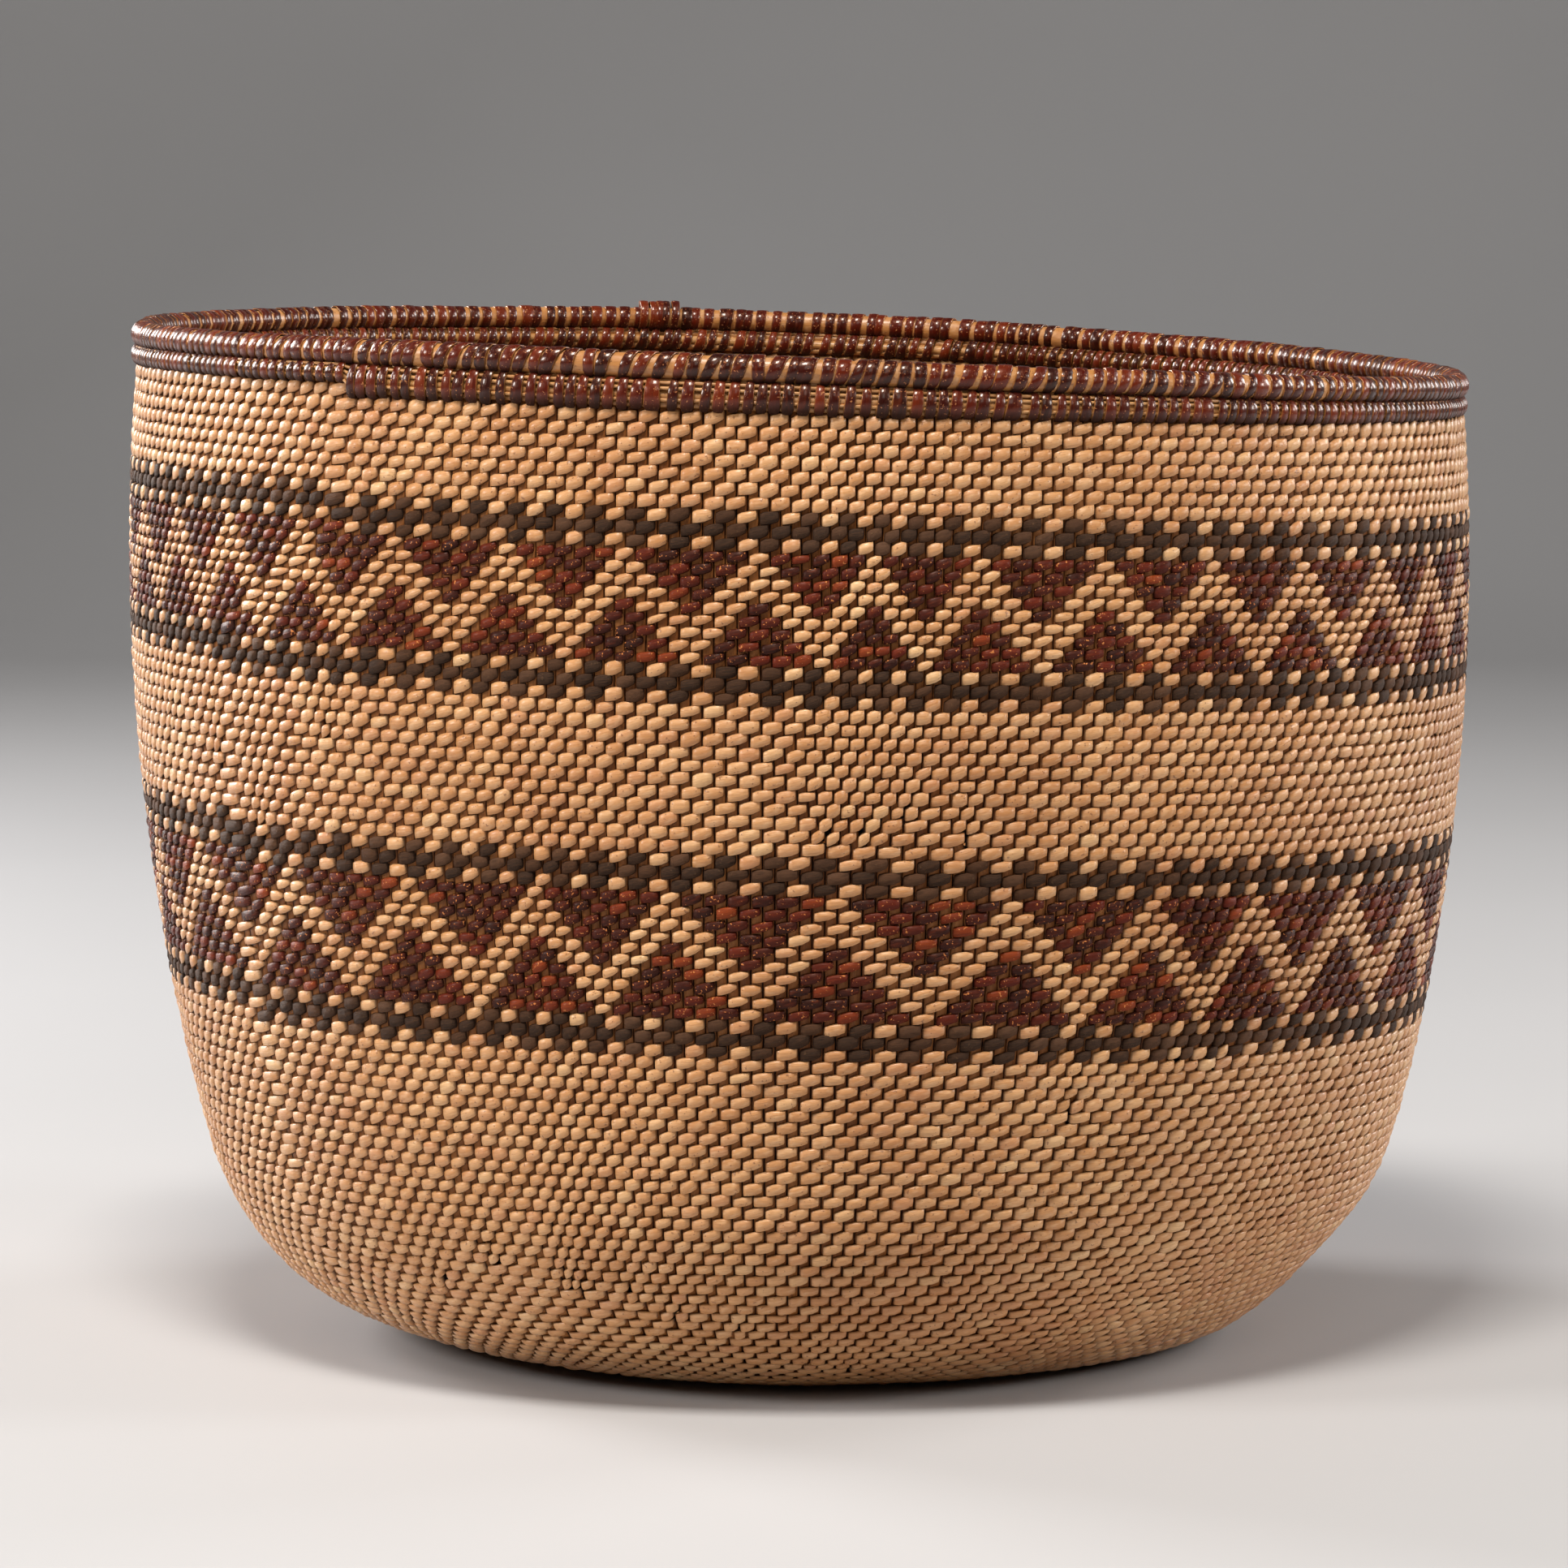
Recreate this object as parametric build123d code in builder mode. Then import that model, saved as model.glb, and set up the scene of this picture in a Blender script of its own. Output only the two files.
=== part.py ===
from build123d import *
from math import acos, cos, degrees, pi, radians, sin, tan
import os

# Twined storage basket. Millimetres, +Z up, origin on the floor under the middle of the base.

# The outer shape: a flat base, then three arcs that run smoothly into each other
base_flat_radius = 109.5
corner_radius = 76.0
haunch_radius = 90.0
wall_curve_radius = 700.0
corner_end_turn = 45.0
haunch_end_turn = 75.0
weave_height = 298.0

# The courses of the weave and the height that each one takes
top_wall_courses = 7
stripe_courses = 3
upper_triangle_courses = 9
middle_wall_courses = 11
lower_triangle_courses = 10
plain_course_pitch = 4.0
middle_course_pitch = 3.93
stripe_course_pitch = 3.88
upper_triangle_pitch = 3.65
lower_triangle_pitch = 3.76

# The rim leans down towards +X by this angle in degrees
rim_tilt = 2.25

# The wall: an outer and an inner layer of weft with the warps between them
weft_thickness = 1.1
warp_diameter = 2.4
warp_clearance = 0.2
warp_spacing = 0.2
first_warp_count = 26
knot_clearance = 0.2

# The rim: two hoops, each with strips wound round it
upper_rod_diameter = 5.6
lower_rod_diameter = 3.0
lower_rod_spacing = 0.1
lower_rod_count = 3
rod_end_gap = 0.6
rim_overhang = 1.5
hoop_clearance = 0.2
lashing_thickness = 1.0
lashing_clearance = 0.1

# The splice at the back, where the ends of the upper rod meet, and the ends of the thin rods
splice_direction = 103.2
splice_length = 14.0
splice_thickness = 1.9
splice_end_gap = 0.3
splice_edge_radius = 0.4
lower_rod_end_direction = 231.0

os.makedirs("parts", exist_ok=True)

# A place on the wall is given by the turn of its surface: 0 faces down, 90 faces sideways
haunch_step = corner_radius - haunch_radius
wall_step = haunch_radius - wall_curve_radius
haunch_centre_reach = base_flat_radius + haunch_step * sin(radians(corner_end_turn))
haunch_centre_height = corner_radius - haunch_step * cos(radians(corner_end_turn))
wall_centre_reach = haunch_centre_reach + wall_step * sin(radians(haunch_end_turn))
wall_centre_height = haunch_centre_height - wall_step * cos(radians(haunch_end_turn))

wall_thickness = 2 * weft_thickness + 2 * warp_clearance + warp_diameter
weft_layers = ((0, weft_thickness), (wall_thickness - weft_thickness, wall_thickness))


def wall_point(turn, depth):
    """The reach and height of the point at a turn, a depth inside the outer surface."""
    if turn <= corner_end_turn:
        reach, height, radius = base_flat_radius, corner_radius, corner_radius
    elif turn <= haunch_end_turn:
        reach, height, radius = haunch_centre_reach, haunch_centre_height, haunch_radius
    else:
        reach, height, radius = wall_centre_reach, wall_centre_height, wall_curve_radius
    reach += (radius - depth) * sin(radians(turn))
    height -= (radius - depth) * cos(radians(turn))
    return reach, height


def turn_at_height(height):
    """The turn where the outer surface has this height."""
    if height <= wall_point(corner_end_turn, 0)[1]:
        centre_height, radius = corner_radius, corner_radius
    elif height <= wall_point(haunch_end_turn, 0)[1]:
        centre_height, radius = haunch_centre_height, haunch_radius
    else:
        centre_height, radius = wall_centre_height, wall_curve_radius
    return degrees(acos((centre_height - height) / radius))


def draw_wall_arcs(depth, first_turn, last_turn):
    """Arcs along the wall at one depth, between two turns."""
    joints = [turn for turn in (corner_end_turn, haunch_end_turn) if first_turn < turn < last_turn]
    turns = [first_turn] + joints + [last_turn]
    for start, end in zip(turns, turns[1:]):
        middle = (start + end) / 2
        ThreePointArc(wall_point(start, depth), wall_point(middle, depth), wall_point(end, depth))


def draw_wall_layer(near, far, start_turn, end_turn):
    """A layer of the wall between two turns."""
    draw_wall_arcs(near, start_turn, end_turn)
    Line(wall_point(end_turn, near), wall_point(end_turn, far))
    draw_wall_arcs(far, start_turn, end_turn)
    Line(wall_point(start_turn, far), wall_point(start_turn, near))


# The zones of the weave from the rim down, each with its courses and their pitch
weave_zones = (
    ("top_wall_weft", top_wall_courses, plain_course_pitch),
    ("upper_band_top_stripe", stripe_courses, stripe_course_pitch),
    ("upper_band_triangles", upper_triangle_courses, upper_triangle_pitch),
    ("upper_band_bottom_stripe", stripe_courses, stripe_course_pitch),
    ("middle_wall_weft", middle_wall_courses, middle_course_pitch),
    ("lower_band_top_stripe", stripe_courses, stripe_course_pitch),
    ("lower_band_triangles", lower_triangle_courses, lower_triangle_pitch),
    ("lower_band_bottom_stripe", stripe_courses, stripe_course_pitch),
)

rim_lean = radians(rim_tilt)
rim_plane = Plane(
    origin=(0, 0, weave_height),
    x_dir=(cos(rim_lean), 0, -sin(rim_lean)),
    z_dir=(sin(rim_lean), 0, cos(rim_lean)),
)
rim_reach = wall_point(turn_at_height(weave_height), 0)[0]
wall_end_turn = turn_at_height(weave_height + rim_reach * tan(2 * rim_lean))

# The knot at the middle of the base, where the first warps cross
first_warp_reach = first_warp_count * (warp_diameter + warp_spacing) / (2 * pi)
with BuildPart() as base_start_knot:
    with BuildSketch():
        Circle(first_warp_reach - knot_clearance)
    extrude(amount=wall_thickness)

# The flat base, up to the corner
with BuildPart() as base_weft:
    for near, far in weft_layers:
        with BuildSketch(Plane.XY.offset(near)):
            Circle(base_flat_radius)
            Circle(first_warp_reach, mode=Mode.SUBTRACT)
        extrude(amount=far - near)

pieces = {"base_start_knot": base_start_knot, "base_weft": base_weft}

# The wall, zone by zone; only the one under the rim is cut to the rim's lean
zone_head = weave_height
head_turn = wall_end_turn
for zone_name, courses, pitch in weave_zones:
    zone_head -= courses * pitch
    foot_turn = turn_at_height(zone_head)
    with BuildPart() as zone:
        with BuildSketch(Plane.XZ):
            for near, far in weft_layers:
                with BuildLine():
                    draw_wall_layer(near, far, foot_turn, head_turn)
                make_face()
        revolve(axis=Axis.Z)
        if head_turn == wall_end_turn:
            split(bisect_by=rim_plane, keep=Keep.BOTTOM)
    pieces[zone_name] = zone
    head_turn = foot_turn

with BuildPart() as lower_wall_weft:
    with BuildSketch(Plane.XZ):
        for near, far in weft_layers:
            with BuildLine():
                draw_wall_layer(near, far, 0, head_turn)
            make_face()
    revolve(axis=Axis.Z)
pieces["lower_wall_weft"] = lower_wall_weft

# The warp shoots spread from the knot to the rim, side by side between the two layers of weft
warp_near = weft_thickness + warp_clearance
warp_far = warp_near + warp_diameter
with BuildPart() as warp_shoots:
    with BuildSketch(Plane.XZ):
        with BuildLine():
            Line((first_warp_reach, warp_near), (base_flat_radius, warp_near))
            draw_wall_arcs(warp_near, 0, wall_end_turn)
            Line(wall_point(wall_end_turn, warp_near), wall_point(wall_end_turn, warp_far))
            draw_wall_arcs(warp_far, 0, wall_end_turn)
            Line((base_flat_radius, warp_far), (first_warp_reach, warp_far))
            Line((first_warp_reach, warp_far), (first_warp_reach, warp_near))
        make_face()
    revolve(axis=Axis.Z)
    split(bisect_by=rim_plane, keep=Keep.BOTTOM)
pieces["warp_shoots"] = warp_shoots

# The hoops lie in planes that lean as the rim does
bundle_reach = (lower_rod_diameter + lower_rod_spacing) / (2 * sin(pi / lower_rod_count))
lower_core_reach = bundle_reach + lower_rod_diameter / 2 + lashing_clearance
upper_core_reach = upper_rod_diameter / 2 + lashing_clearance
lower_hoop_reach = rim_reach + rim_overhang - lower_core_reach - lashing_thickness
upper_hoop_reach = rim_reach + rim_overhang - upper_core_reach - lashing_thickness
lower_hoop_plane = rim_plane.offset(hoop_clearance + lower_core_reach + lashing_thickness)
hoop_step = lower_core_reach + upper_core_reach + 2 * lashing_thickness + hoop_clearance
upper_hoop_plane = lower_hoop_plane.offset(hoop_step)


def section_plane(hoop_plane, direction):
    """The upright plane through the axis of a hoop, with its x axis pointing out in a direction."""
    outward = hoop_plane.x_dir * cos(radians(direction)) + hoop_plane.y_dir * sin(radians(direction))
    return Plane(origin=hoop_plane.origin, x_dir=outward, z_dir=outward.cross(hoop_plane.z_dir))


def hoop_axis(hoop_plane):
    """The axis of a hoop."""
    return Axis(hoop_plane.origin, hoop_plane.z_dir)


with BuildPart() as lower_hoop_rods:
    open_turn = degrees(rod_end_gap / lower_hoop_reach)
    for rod in range(lower_rod_count):
        around = radians(90 + 360 * rod / lower_rod_count)
        rod_place = (lower_hoop_reach + bundle_reach * cos(around), bundle_reach * sin(around))
        rod_end = lower_rod_end_direction + 360 * rod / lower_rod_count
        with BuildSketch(section_plane(lower_hoop_plane, rod_end)):
            with Locations(rod_place):
                Circle(lower_rod_diameter / 2)
        revolve(axis=hoop_axis(lower_hoop_plane), revolution_arc=360 - open_turn)
pieces["lower_hoop_rods"] = lower_hoop_rods

with BuildPart() as upper_hoop_rod:
    open_turn = degrees(rod_end_gap / upper_hoop_reach)
    with BuildSketch(section_plane(upper_hoop_plane, splice_direction + open_turn / 2)):
        with Locations((upper_hoop_reach, 0)):
            Circle(upper_rod_diameter / 2)
    revolve(axis=hoop_axis(upper_hoop_plane), revolution_arc=360 - open_turn)
pieces["upper_hoop_rod"] = upper_hoop_rod

# The binding round the splice is thicker above and outside, and level with the lashing below
splice_turn = degrees(splice_length / upper_hoop_reach)
with BuildPart() as hoop_splice_binding:
    with BuildSketch(section_plane(upper_hoop_plane, splice_direction - splice_turn / 2)):
        with Locations((upper_hoop_reach, splice_thickness - lashing_thickness)):
            Circle(upper_core_reach + splice_thickness)
        with Locations((upper_hoop_reach, 0)):
            Circle(upper_core_reach, mode=Mode.SUBTRACT)
    revolve(axis=hoop_axis(upper_hoop_plane), revolution_arc=splice_turn)
    fillet(hoop_splice_binding.faces().filter_by(GeomType.PLANE).edges(), splice_edge_radius)
pieces["hoop_splice_binding"] = hoop_splice_binding


# The lashings are close sleeves round the rods, and the upper one leaves the splice free
with BuildPart() as lower_hoop_lashing:
    with BuildSketch(section_plane(lower_hoop_plane, 0)):
        with Locations((lower_hoop_reach, 0)):
            Circle(lower_core_reach + lashing_thickness)
            Circle(lower_core_reach, mode=Mode.SUBTRACT)
    revolve(axis=hoop_axis(lower_hoop_plane))
pieces["lower_hoop_lashing"] = lower_hoop_lashing

free_turn = splice_turn + degrees(2 * splice_end_gap / upper_hoop_reach)
with BuildPart() as upper_hoop_lashing:
    with BuildSketch(section_plane(upper_hoop_plane, splice_direction + free_turn / 2)):
        with Locations((upper_hoop_reach, 0)):
            Circle(upper_core_reach + lashing_thickness)
            Circle(upper_core_reach, mode=Mode.SUBTRACT)
    revolve(axis=hoop_axis(upper_hoop_plane), revolution_arc=360 - free_turn)
pieces["upper_hoop_lashing"] = upper_hoop_lashing

for name, piece in pieces.items():
    piece.part.label = name
    export_step(piece.part, f"parts/{name}.step")
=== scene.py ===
import bpy
import math
import numpy as np
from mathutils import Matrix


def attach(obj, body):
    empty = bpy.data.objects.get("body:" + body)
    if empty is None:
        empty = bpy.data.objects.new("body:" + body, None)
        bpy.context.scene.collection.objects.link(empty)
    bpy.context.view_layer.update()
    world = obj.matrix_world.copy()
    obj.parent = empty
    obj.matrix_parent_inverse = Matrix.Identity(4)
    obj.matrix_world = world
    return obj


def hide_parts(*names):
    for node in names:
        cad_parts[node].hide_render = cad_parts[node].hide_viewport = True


# Twined storage basket: every stitch, warp shoot and hoop wrap is a strand of its own
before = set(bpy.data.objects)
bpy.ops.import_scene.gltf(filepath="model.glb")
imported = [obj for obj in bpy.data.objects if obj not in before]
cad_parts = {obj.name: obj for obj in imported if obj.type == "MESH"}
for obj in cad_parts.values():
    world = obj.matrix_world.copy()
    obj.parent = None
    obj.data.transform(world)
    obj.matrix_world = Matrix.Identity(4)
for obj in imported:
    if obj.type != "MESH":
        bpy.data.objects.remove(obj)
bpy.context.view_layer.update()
mm = 0.001
chance = np.random.default_rng(7)

# the shape of the wall, as on the solids
wall = {
    "flatRadius": 109.5 * mm,
    "cornerRadius": 76.0 * mm,
    "haunchRadius": 90.0 * mm,
    "curveRadius": 700.0 * mm,
    "cornerEnd": math.radians(45),
    "haunchEnd": math.radians(75),
    "height": 298.0 * mm,
    "thickness": 5.0 * mm,
    "rimLean": math.radians(2.25),
    "front": math.radians(270),
}

haunchStep = wall["cornerRadius"] - wall["haunchRadius"]
curveStep = wall["haunchRadius"] - wall["curveRadius"]
haunchX = wall["flatRadius"] + haunchStep * math.sin(wall["cornerEnd"])
haunchZ = wall["cornerRadius"] - haunchStep * math.cos(wall["cornerEnd"])
curveX = haunchX + curveStep * math.sin(wall["haunchEnd"])
curveZ = haunchZ - curveStep * math.cos(wall["haunchEnd"])
cornerWay = wall["flatRadius"] + wall["cornerRadius"] * wall["cornerEnd"]
haunchWay = cornerWay + wall["haunchRadius"] * (wall["haunchEnd"] - wall["cornerEnd"])


def wayAtHeight(z):
    # way along the outside of the wall, from the middle of the base up to a height
    turn = math.acos((curveZ - z) / wall["curveRadius"])
    return haunchWay + wall["curveRadius"] * (turn - wall["haunchEnd"])


def profile(way, depth):
    # reach and height of the wall at a way along it and a depth inside: a flat, then three arcs
    zone = [way <= wall["flatRadius"], way <= cornerWay, way <= haunchWay]
    corner = (way - wall["flatRadius"]) / wall["cornerRadius"]
    haunch = wall["cornerEnd"] + (way - cornerWay) / wall["haunchRadius"]
    curve = wall["haunchEnd"] + (way - haunchWay) / wall["curveRadius"]
    turn = np.select(zone, [way * 0, corner, haunch], curve)
    centreX = np.select(zone, [way, way * 0 + wall["flatRadius"], way * 0 + haunchX], curveX)
    centreZ = np.select(zone, [way * 0 + wall["cornerRadius"]] * 2 + [way * 0 + haunchZ], curveZ)
    radius = np.select(zone, [way * 0 + wall["cornerRadius"]] * 2 + [way * 0 + wall["haunchRadius"]],
                       wall["curveRadius"])
    return centreX + (radius - depth) * np.sin(turn), centreZ - (radius - depth) * np.cos(turn)


rimWay = wayAtHeight(wall["height"])

# how far the courses lie off level: each one leans down towards +X and sags at its two sides
offLevel = {
    "heights": [111.7 * mm, 168.7 * mm, 215.8 * mm, 268.1 * mm, 298.0 * mm],
    # at the flat's edge, at the corner's end, and then at each of the heights
    "lean": np.array([0, 1.3, 5.2, 5.8, 6.9, 7.3, 7.0]) * mm,
    "sag": np.array([0, 1.2, 4.3, 4.3, 3.0, 3.5, 2.6]) * mm,
}
offLevel["ways"] = [wall["flatRadius"], cornerWay] + [wayAtHeight(z) for z in offLevel["heights"]]
unevenness = {
    # each wave is how many times round it goes, its phase, how far it twists on the way up, and its share
    "wallSwell": 0.8 * mm,  # slow swells of the wall, in and out
    "wallWaves": [(3, 1.3, 5, 0.6), (7, 0.4, -8, 0.4)],
    "swellStart": 0.30,  # shares of the way to the rim between which the swells set in
    "swellFull": 0.55,
    "courseSwell": 1.1 * mm,  # slow waves of the courses, up and down
    "courseWaves": [(2, 0.7, 9, 1.0), (5, 2.1, 4, 0.6)],
    # places where the wall stands out: the angle, its width and how far
    "bulges": [(math.radians(232), 0.16, 1.2 * mm), (math.radians(-4), 0.5, 2.0 * mm)],
    # each of these is how much, its way along the wall and its width there
    "footLift": (2.7 * mm, wall["flatRadius"] + 14 * mm, 34 * mm),  # at -X the base's edge is off the floor
    "footDrop": (0.45, 130 * mm, 16 * mm),  # at +X the corner lies this share lower
    "haunchDent": (2.6 * mm, 178 * mm, 24 * mm),  # and the haunch above it is drawn in
    "leftPower": 1.4,  # how narrow the two sides are, as powers of the cosine
    "rightPower": 2,
}


def waves(angle, parts, share=0):
    # a sum of sines round the basket, each with its times, phase, twist and size
    return sum(size * np.sin(times * angle + phase + twist * share) for times, phase, twist, size in parts)


def hump(place, middle, width):
    # a bell: one at the middle, and nearly nothing two widths away
    return np.exp(-((place - middle) / width) ** 2)


def weavePoint(theta, way, depth):
    # a point of the wall: the profile turned about the axis, slid along itself by the courses' lean,
    # sag and waves, with slow swells that fade out at the base and the rim
    share = np.clip(way / rimWay, 0, 1)
    lean = np.interp(way, offLevel["ways"], offLevel["lean"])
    sag = np.interp(way, offLevel["ways"], offLevel["sag"])
    wave = waves(theta, unevenness["courseWaves"], share)
    slide = unevenness["courseSwell"] * wave * share * (1 - share)
    slide = slide - lean * np.cos(theta) - sag * np.cos(theta) ** 2
    outward = unevenness["wallSwell"] * waves(theta, unevenness["wallWaves"], share)
    for angle, width, far in unevenness["bulges"]:
        outward = outward + far * hump(np.angle(np.exp(1j * (theta - angle))), 0, width)
    setIn = (share - unevenness["swellStart"]) / (unevenness["swellFull"] - unevenness["swellStart"])
    outward = outward * np.sin(math.pi * share) * np.clip(setIn, 0, 1)
    toRight = np.clip(np.cos(theta), 0, 1) ** unevenness["rightPower"]
    toLeft = np.clip(-np.cos(theta), 0, 1) ** unevenness["leftPower"]
    dent, middle, width = unevenness["haunchDent"]
    outward = outward - dent * toRight * hump(way, middle, width)
    reach, height = profile(way + slide, depth - outward)
    drop, middle, width = unevenness["footDrop"]
    height = height * (1 - drop * toRight * hump(way, middle, width))
    lift, middle, width = unevenness["footLift"]
    height = height + lift * toLeft * hump(way, middle, width)
    return np.stack([reach * np.cos(theta), reach * np.sin(theta), height], axis=-1)


# the courses: those of the base and haunch are evenly spaced, the rest fill their zones
weave = {
    "startWay": 1.9 * mm,  # where the first course begins, and where the knot and the base end
    "knotWay": 10.5 * mm,
    "baseWay": 111.0 * mm,
    "lowCourses": 68,  # up to the lower band
    "stitch": 6.35 * mm,
    "firstStitches": 4,
    "lowerStitches": 196,
    "upperStitches": 210,
    "turn": math.radians(213),  # where each round of the spiral begins
    "topSeam": 18,  # warps by which the top courses begin later
    "seamStep": 2,  # and by which each course does until then
    "choice": 0.5,  # the share of chance in where new warps go in
    "spread": 0.22,  # how fast new warps spread out
    "passes": 3,  # and how often in each course
}

# the zones above the haunch, up to the rim, with the height of a course: p is a plain course, a one with
# light and dark stitches in turn, d a dark one, t one of triangles
zones = [
    ("lower_band_bottom_stripe", "ada", 3.88 * mm),
    ("lower_band_triangles", "t" * 10, 3.76 * mm),
    ("lower_band_top_stripe", "ada", 3.88 * mm),
    ("middle_wall_weft", "p" * 11, 3.93 * mm),
    ("upper_band_bottom_stripe", "ada", 3.88 * mm),
    ("upper_band_triangles", "t" * 9, 3.65 * mm),
    ("upper_band_top_stripe", "ada", 3.88 * mm),
    ("top_wall_weft", "p" * 7, 4.00 * mm),
]
# in stitches: from one triangle to the next, and where the first one is
triangles = {
    "lower_band_triangles": {"period": 7, "start": -1},
    "upper_band_triangles": {"period": 6, "start": 3},
}
sedge, bulrush, redbud = 0, 1, 2


def planCourses():
    # one entry per course, from the base up
    courses = []
    foot = wall["height"] - sum(len(kinds) * tall for _, kinds, tall in zones)
    pitch = (wayAtHeight(foot) - weave["startWay"]) / weave["lowCourses"]
    for step in range(weave["lowCourses"]):
        way = weave["startWay"] + (step + 0.5) * pitch
        zone = "lower_wall_weft"
        if way < weave["baseWay"]:
            zone = "base_start_knot" if way < weave["knotWay"] else "base_weft"
        courses.append({"zone": zone, "way": way, "pitch": pitch, "kind": "p"})
    for zone, kinds, tall in zones:
        low, high = wayAtHeight(foot), wayAtHeight(foot + len(kinds) * tall)
        foot += len(kinds) * tall
        pitch = (high - low) / len(kinds)
        for step, kind in enumerate(kinds):
            courses.append({"zone": zone, "way": low + (step + 0.5) * pitch, "pitch": pitch,
                            "kind": kind, "row": len(kinds) - 1 - step, "rows": len(kinds)})
    first = [course["zone"] for course in courses].index("upper_band_triangles")
    for index, course in enumerate(courses):
        course["seam"] = min(max(weave["seamStep"] * (index - first), 0), weave["topSeam"])
    return courses


def stitchGoal(course, index, firstMiddle, middleCount):
    # how many stitches a course has: as its reach allows up to the haunch, then the lower band's number,
    # which grows over the middle courses to the upper band's
    if index < weave["lowCourses"]:
        reach = profile(np.array([course["way"]]), 0)[0][0]
        goal = int(round(2 * math.pi * reach / weave["stitch"]))
        return min(max(goal, weave["firstStitches"]), weave["lowerStitches"])
    if index < firstMiddle:
        return weave["lowerStitches"]
    share = min(1, (index - firstMiddle + 1) / middleCount)
    return weave["lowerStitches"] + int(round(share * (weave["upperStitches"] - weave["lowerStitches"])))


def layWarps(courses):
    # the angles of the warps at each course: new pairs go in where the goal asks for them, and each
    # warp then moves towards the middle of its neighbours, so that gaps even out over some courses
    middle = [i for i, course in enumerate(courses) if course["zone"] == "middle_wall_weft"]
    warps = weave["turn"] + np.arange(2 * weave["firstStitches"]) * math.pi / weave["firstStitches"]
    names = np.arange(len(warps))
    for index, course in enumerate(courses):
        missing = stitchGoal(course, index, middle[0], len(middle)) - len(warps) // 2
        if missing > 0:
            after = np.append(warps[1:], warps[0] + 2 * math.pi)
            wide = (after - warps) * (1 + weave["choice"] * chance.random(len(warps)))
            places = np.sort(np.argsort(wide)[-missing:])
            step = after[places] - warps[places]
            fresh = np.concatenate([warps[places] + step / 3, warps[places] + 2 * step / 3])
            warps = np.concatenate([warps, fresh])
            names = np.concatenate([names, names.max() + 1 + np.arange(len(fresh))])
            order = np.argsort(warps)
            warps, names = warps[order], names[order]
        for _ in range(weave["passes"]):
            before = np.concatenate([[warps[-1] - 2 * math.pi], warps[:-1]])
            after = np.concatenate([warps[1:], [warps[0] + 2 * math.pi]])
            warps = warps + weave["spread"] * (before + after - 2 * warps)
        course["warps"], course["names"] = warps, names
    return courses


def kindsOf(course, index, number):
    # the strand of each stitch of a course, by the pattern: row by row downwards, a hanging triangle
    # loses a stitch and a standing one between them gains one
    if course["kind"] == "d":
        return number * 0 + bulrush
    if course["kind"] == "a":
        return np.where(number % 2 == 0, bulrush, sedge)
    if course["kind"] == "t":
        period, start = triangles[course["zone"]]["period"], triangles[course["zone"]]["start"]
        row = course["row"]
        apex = start + 0.5 * ((index + row) % 2) + 0.5 * (period % 2)
        place = number + 0.5 * (index % 2) - apex
        fromHanging = np.abs((place + period / 2) % period - period / 2)
        fromStanding = np.abs(place % period - period / 2)
        hanging, standing = period - 1 - row, row - (course["rows"] - period)
        inside = (2 * fromHanging < hanging) | (2 * fromStanding < standing)
        return np.where(inside, redbud, sedge)
    return number * 0 + sedge


courses = layWarps(planCourses())
print("courses", len(courses), "stitches", sum(len(c["warps"]) // 2 for c in courses))


def linear(red, green, blue):
    # a colour as it is seen on a screen, in the renderer's own scale
    return tuple(((c + 0.055) / 1.055) ** 2.4 for c in (red, green, blue)) + (1.0,)


def addNode(tree, kind, links=(), **values):
    # one shader node: values go to its properties, links are (socket, value or output) pairs
    node = tree.nodes.new(kind)
    for key, value in values.items():
        setattr(node, key, value)
    for socket, value in links:
        if isinstance(value, bpy.types.NodeSocket):
            tree.links.new(value, node.inputs[socket])
        else:
            node.inputs[socket].default_value = value
    return node


def stretchValue(tree, value, low, high, first=0.0, last=1.0):
    # a value carried from one range to another and held at its ends
    node = addNode(tree, "ShaderNodeMapRange", [("Value", value), ("From Min", low), ("From Max", high),
                                                ("To Min", first), ("To Max", last)])
    return node.outputs["Result"]


def mixColours(tree, share, first, second, blend="MIX"):
    # the first colour with a share of the second one over it: the node's sockets 6 and 7 are colours
    node = addNode(tree, "ShaderNodeMix", [(0, share), (6, first), (7, second)], data_type="RGBA",
                   blend_type=blend)
    return node.outputs[2]


def calculate(tree, operation, first, second=0.0):
    # one sum, product or other step of arithmetic
    node = addNode(tree, "ShaderNodeMath", [(0, first), (1, second)], operation=operation)
    return node.outputs[0]


def addNoise(tree, place, scale, detail, roughness=0.5):
    # a cloudy value between 0 and 1 at a place
    node = addNode(tree, "ShaderNodeTexNoise", [("Vector", place), ("Scale", scale), ("Detail", detail),
                                                ("Roughness", roughness)])
    return node.outputs[0]


fibreShape = {
    "turn": 0.06,  # the third part of the place turns slowly, so that no two strands look alike
    "detail": 3.0,
    "roughness": 0.65,
    "streakFineness": 1.6,
    "speckSoftness": 0.04,
    "speckHeight": 0.5,
    "edgeStart": 0.82,  # the edges begin this share of the way from the middle to the side
}


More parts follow.
